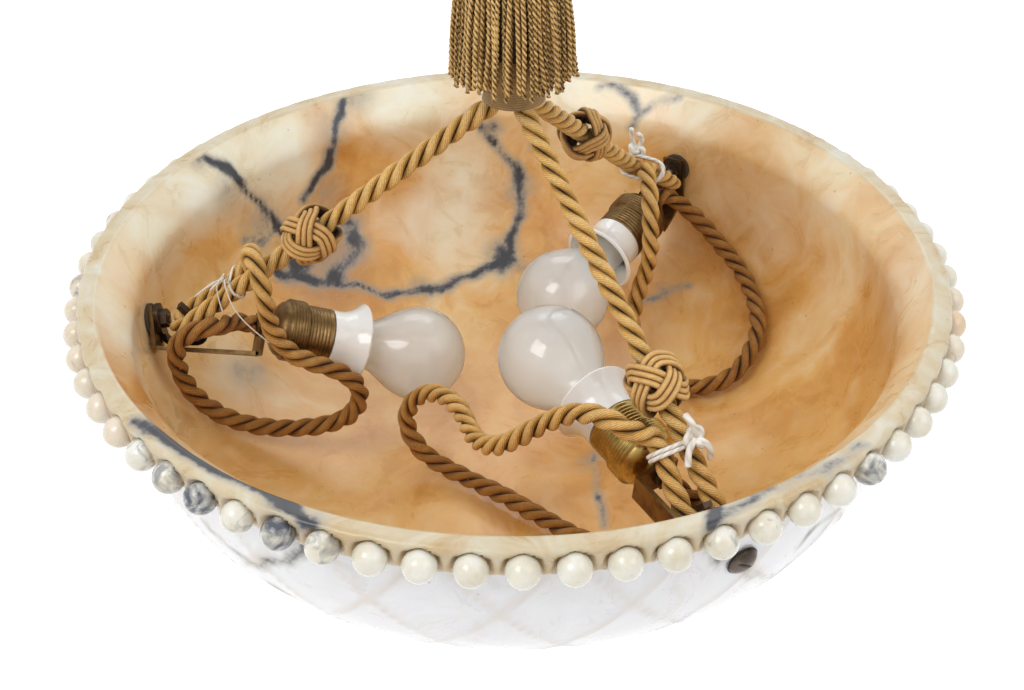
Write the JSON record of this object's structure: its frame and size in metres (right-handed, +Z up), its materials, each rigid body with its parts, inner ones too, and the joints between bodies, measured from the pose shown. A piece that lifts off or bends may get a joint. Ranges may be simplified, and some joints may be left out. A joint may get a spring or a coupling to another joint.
{
  "type": "bowl pendant lamp",
  "caption": "Carved alabaster bowl pendant with beaded rim, slung by cotton ropes with sliding knots under a tassel, with bracketed lampholders and globe bulbs inside.",
  "frame": {"origin": "point where a ceiling hook bears in the top of the hanging ring", "axes": "+Z up along the pendant's axis, -Y towards the side nearest the camera in the picture, +X to the picture's right"},
  "size_m": [0.5174, 0.5178, 0.4445],
  "materials": {
    "alabaster": "satin",
    "dark_iron": "satin",
    "felt": "matte",
    "binding_cloth": "matte",
    "tinned_iron": "satin",
    "porcelain": "glossy",
    "mould_wood": "satin",
    "fringe_cord": "silky",
    "aged_brass": "satin",
    "bright_brass": "polished",
    "frosted_glass": "satin",
    "lamp_cap": "satin",
    "rope_cotton": "matte",
    "knot_cord": "matte",
    "white_string": "matte"
  },
  "bodies": {
    "hanger": {"hanging_ring": "aged_brass"},
    "pendant": {"alabaster_bowl": "alabaster", "wall_bolts": "dark_iron", "wall_pads": "felt", "bolt_nuts": "dark_iron", "rope_binding": "binding_cloth", "rope_ferrule": "tinned_iron", "rod_nuts": "dark_iron", "terminal_block": "porcelain", "tassel_mould": "mould_wood", "tassel_fringe": "fringe_cord", "eye_rod": "aged_brass", "wall_hook_front": "dark_iron", "lamp_bracket_front": "aged_brass", "holder_nipple_front": "aged_brass", "holder_dome_front": "bright_brass", "holder_shell_front": "bright_brass", "holder_core_front": "porcelain", "rope_front": "rope_cotton", "string_tie_front": "white_string", "wall_hook_rear": "dark_iron", "lamp_bracket_rear": "aged_brass", "holder_nipple_rear": "aged_brass", "holder_dome_rear": "aged_brass", "holder_shell_rear": "aged_brass", "holder_core_rear": "porcelain", "rope_rear": "rope_cotton", "string_tie_rear": "white_string", "wall_hook_left": "dark_iron", "lamp_bracket_left": "aged_brass", "holder_nipple_left": "aged_brass", "holder_dome_left": "aged_brass", "holder_shell_left": "aged_brass", "holder_core_left": "porcelain", "rope_left": "rope_cotton", "string_tie_left": "white_string"},
    "shade_front": {"shade_ring_front": "porcelain"},
    "bulb_front": {"bulb_glass_front": "frosted_glass", "bulb_cap_front": "lamp_cap"},
    "knot_front": {"rope_knot_front": "knot_cord"},
    "shade_rear": {"shade_ring_rear": "porcelain"},
    "bulb_rear": {"bulb_glass_rear": "frosted_glass", "bulb_cap_rear": "lamp_cap"},
    "knot_rear": {"rope_knot_rear": "knot_cord"},
    "shade_left": {"shade_ring_left": "porcelain"},
    "bulb_left": {"bulb_glass_left": "frosted_glass", "bulb_cap_left": "lamp_cap"},
    "knot_left": {"rope_knot_left": "knot_cord"}
  },
  "joints": [
    {"name": "swing", "type": "hinge", "parent": "hanger", "child": "pendant", "pos_m": [0, 0, -0.033], "axis": [0, 1, 0], "range_deg": [-30, 30]},
    {"name": "shade_turn_front", "type": "hinge", "parent": "pendant", "child": "shade_front", "pos_m": [0.07581, -0.14205, -0.3197], "axis": [-0.5513, 0.8235, 0.134], "continuous": true},
    {"name": "bulb_turn_front", "type": "hinge", "parent": "pendant", "child": "bulb_front", "pos_m": [0.07581, -0.14205, -0.3197], "axis": [-0.5513, 0.8235, 0.134], "continuous": true},
    {"name": "knot_slide_front", "type": "slide", "parent": "pendant", "child": "knot_front", "axis": [-0.4138, 0.6724, 0.6137], "range_m": [-0.004, 0.125]},
    {"name": "shade_turn_rear", "type": "hinge", "parent": "pendant", "child": "shade_rear", "pos_m": [0.09164, 0.13974, -0.3257], "axis": [-0.5993, -0.7753, -0.1994], "continuous": true},
    {"name": "bulb_turn_rear", "type": "hinge", "parent": "pendant", "child": "bulb_rear", "pos_m": [0.09164, 0.13974, -0.3257], "axis": [-0.5993, -0.7753, -0.1994], "continuous": true},
    {"name": "knot_slide_rear", "type": "slide", "parent": "pendant", "child": "knot_rear", "axis": [-0.3754, -0.6946, 0.6137], "range_m": [-0.06, 0.062]},
    {"name": "shade_turn_left", "type": "hinge", "parent": "pendant", "child": "shade_left", "pos_m": [-0.1509, 0.00616, -0.3297], "axis": [0.8932, 0.236, -0.3827], "continuous": true},
    {"name": "bulb_turn_left", "type": "hinge", "parent": "pendant", "child": "bulb_left", "pos_m": [-0.1509, 0.00616, -0.3297], "axis": [0.8932, 0.236, -0.3827], "continuous": true},
    {"name": "knot_slide_left", "type": "slide", "parent": "pendant", "child": "knot_left", "axis": [0.7892, 0.0221, 0.6137], "range_m": [-0.005, 0.094]}
  ]
}
